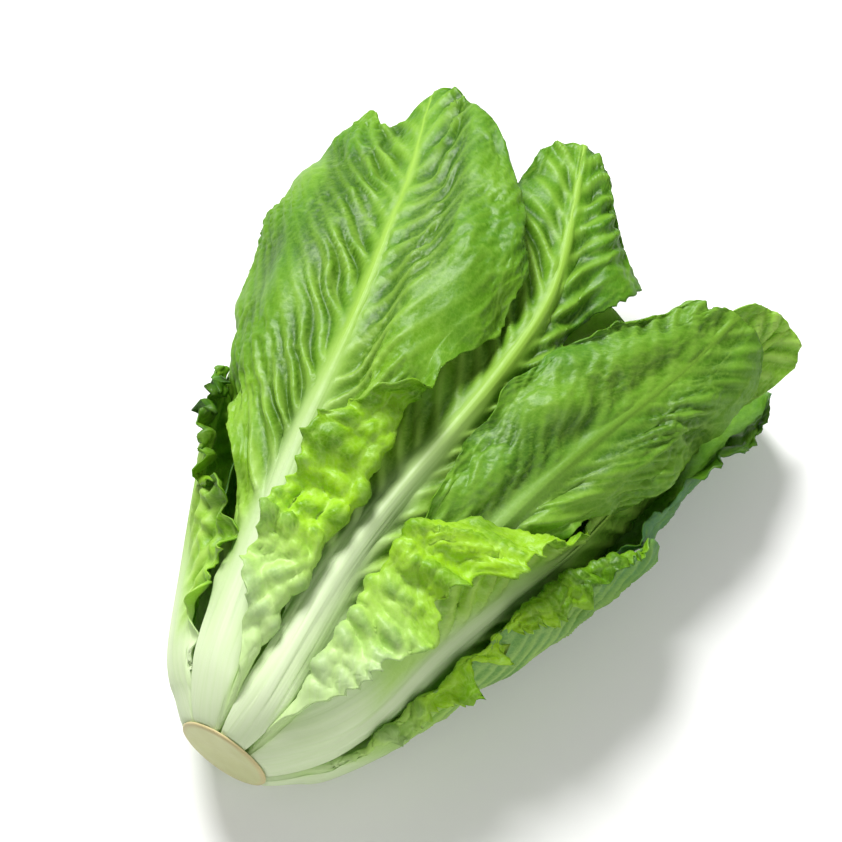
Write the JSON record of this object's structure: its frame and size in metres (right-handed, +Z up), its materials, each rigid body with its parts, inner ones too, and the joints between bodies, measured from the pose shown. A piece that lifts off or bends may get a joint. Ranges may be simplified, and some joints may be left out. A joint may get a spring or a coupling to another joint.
{
  "type": "romaine lettuce head",
  "caption": "Whole romaine lettuce head lying on its side, with a cut butt, a short stem and ribbed, waved leaves in nested rings",
  "frame": {"origin": "middle of the footprint on the surface that the head lies on", "axes": "+Z up, +Y along the head from the cut butt to the leaf tips, +X to the right seen from the butt"},
  "size_m": [0.225, 0.2956, 0.1026],
  "materials": {
    "stem": "matte cut stem flesh, cream with a tan rim",
    "outer_leaf": "satin leaf blade, mid green, with a pale midrib",
    "inner_leaf": "satin young leaf, yellow green"
  },
  "bodies": {
    "root": {"stem": "stem", "leaf_top_left": "outer_leaf", "leaf_top_centre": "outer_leaf", "leaf_top_right": "outer_leaf", "leaf_right": "outer_leaf", "leaf_lower_right": "outer_leaf", "leaf_under_right": "outer_leaf", "leaf_under_left": "outer_leaf", "leaf_lower_left": "outer_leaf", "inner_leaf_1": "inner_leaf", "inner_leaf_2": "inner_leaf", "inner_leaf_3": "inner_leaf", "inner_leaf_4": "inner_leaf", "inner_leaf_5": "inner_leaf", "inner_leaf_6": "inner_leaf", "heart_leaf_1": "inner_leaf", "heart_leaf_2": "inner_leaf"}
  },
  "joints": []
}
